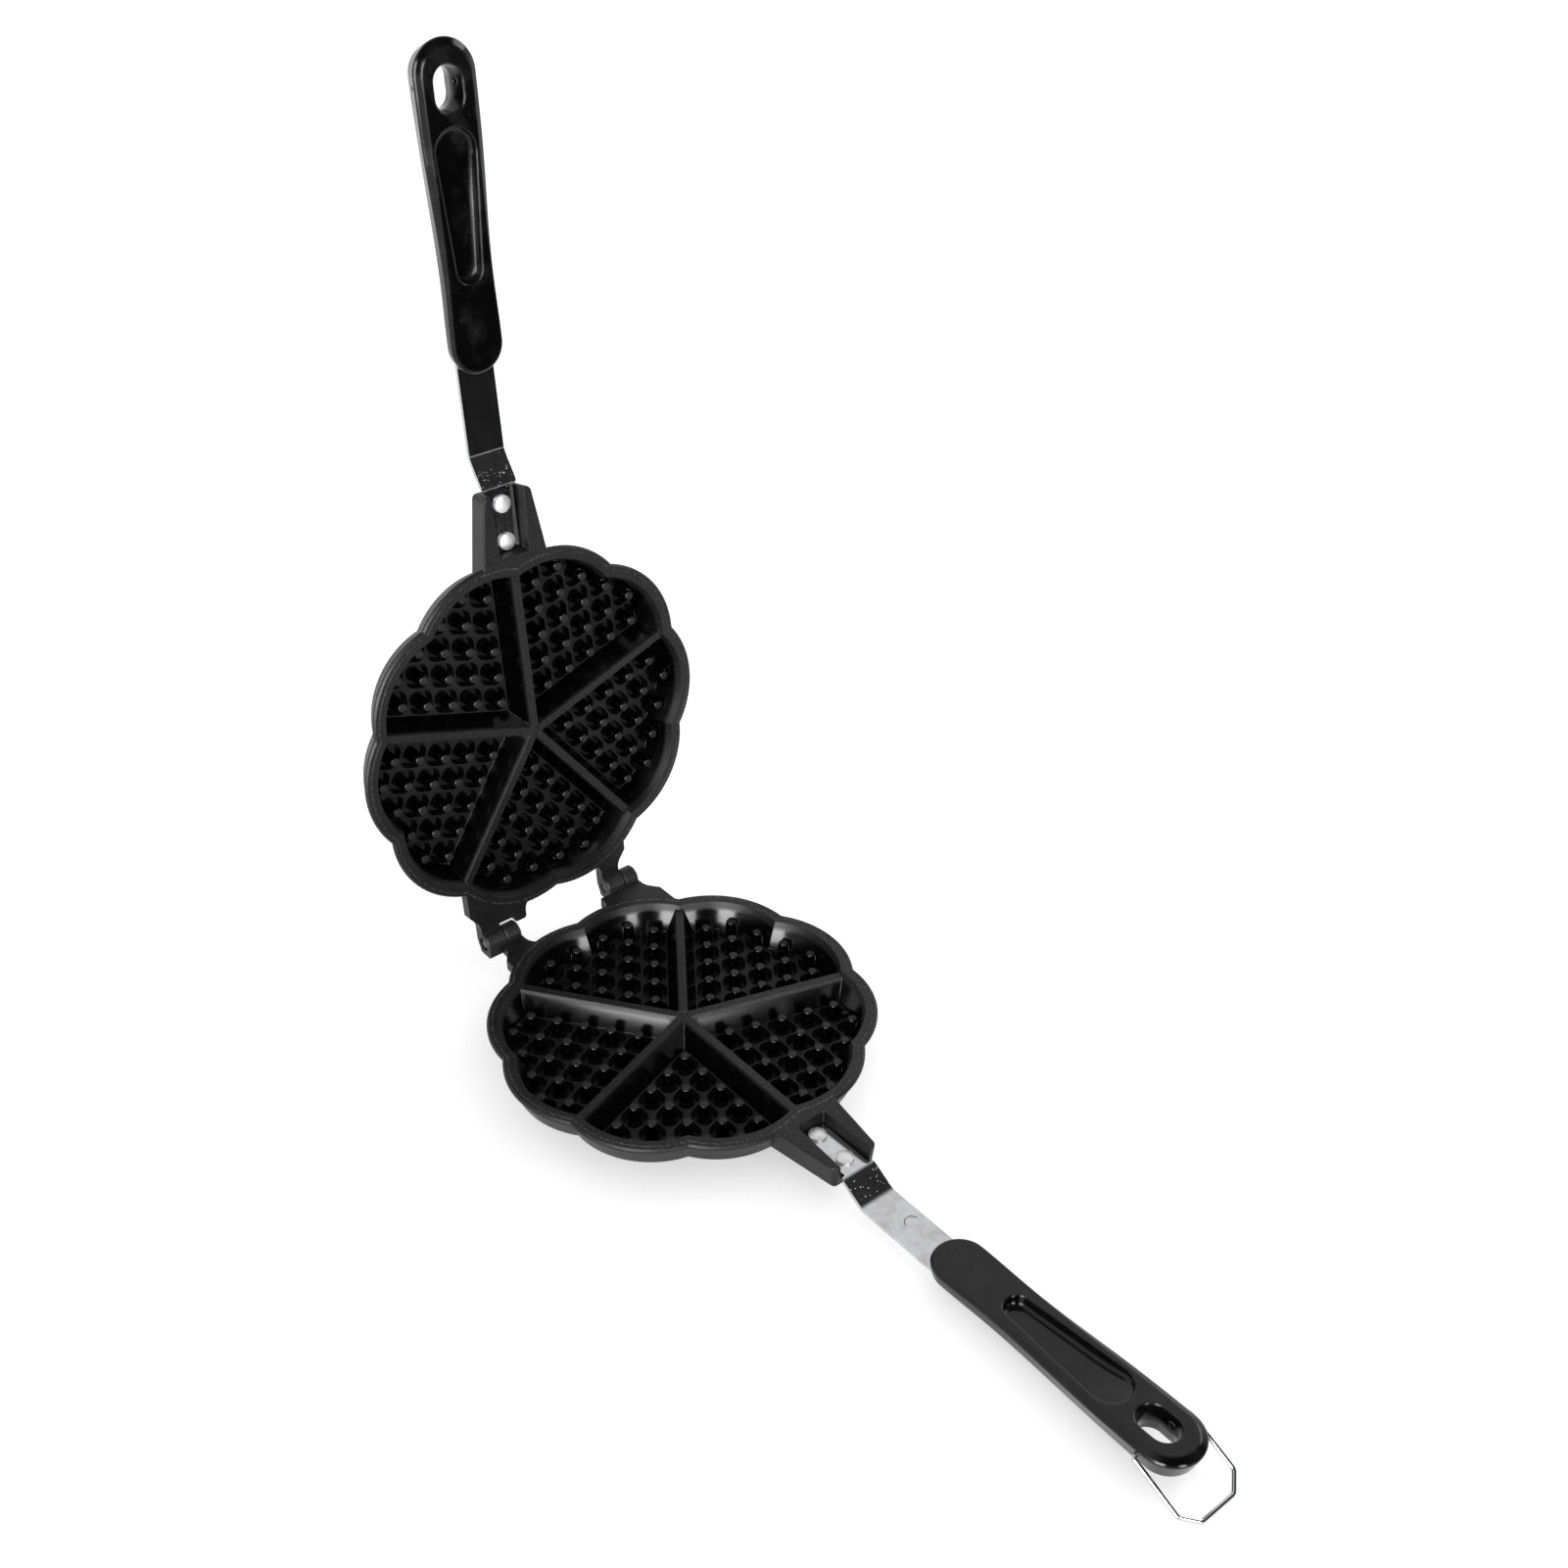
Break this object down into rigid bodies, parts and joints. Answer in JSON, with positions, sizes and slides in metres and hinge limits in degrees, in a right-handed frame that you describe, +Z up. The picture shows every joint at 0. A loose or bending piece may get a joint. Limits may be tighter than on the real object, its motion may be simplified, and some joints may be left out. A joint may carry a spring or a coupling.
{
  "type": "stovetop waffle iron",
  "caption": "Hinged cast stovetop waffle iron with heart-shaped cavities in a lobed round plate, long steel straps, moulded grips and a wire latch loop.",
  "frame": {"origin": "centre of the lower plate's flat underside, on the hob", "axes": "+Z up, +X towards the lower grip, hinge axis along +Y, upper half standing open"},
  "size_m": [0.4793, 0.1834, 0.4346],
  "materials": {
    "plate_coating": "cast aluminium with a black non-stick coating, satin",
    "strap_steel": "polished chrome-plated steel strip",
    "rivet_aluminium": "bright, set cold",
    "grip_phenolic": "black phenolic, compression moulded, glossy",
    "screw_steel": "zinc-plated",
    "pin_steel": "ground",
    "wire_steel": "bright drawn spring wire"
  },
  "bodies": {
    "lower_half": {"lower_plate": "plate_coating", "lower_strap": "strap_steel", "lower_rivet_inner": "rivet_aluminium", "lower_rivet_outer": "rivet_aluminium", "lower_grip": "grip_phenolic", "lower_grip_screw": "screw_steel"},
    "upper_half": {"upper_plate": "plate_coating", "upper_strap": "strap_steel", "upper_rivet_inner": "rivet_aluminium", "upper_rivet_outer": "rivet_aluminium", "upper_grip": "grip_phenolic", "upper_grip_screw": "screw_steel", "hinge_pin_left": "pin_steel", "hinge_pin_right": "pin_steel"},
    "latch": {"latch_wire": "wire_steel"}
  },
  "joints": [
    {"name": "plate_hinge", "type": "hinge", "parent": "lower_half", "child": "upper_half", "pos_m": [-0.1012, 0, 0.024], "axis": [0, 1, 0], "range_deg": [0, 95]},
    {"name": "latch_pivot", "type": "hinge", "parent": "lower_half", "child": "latch", "pos_m": [0.2936, 0, 0.014], "axis": [0, -1, 0], "range_deg": [0, 120.8]}
  ]
}
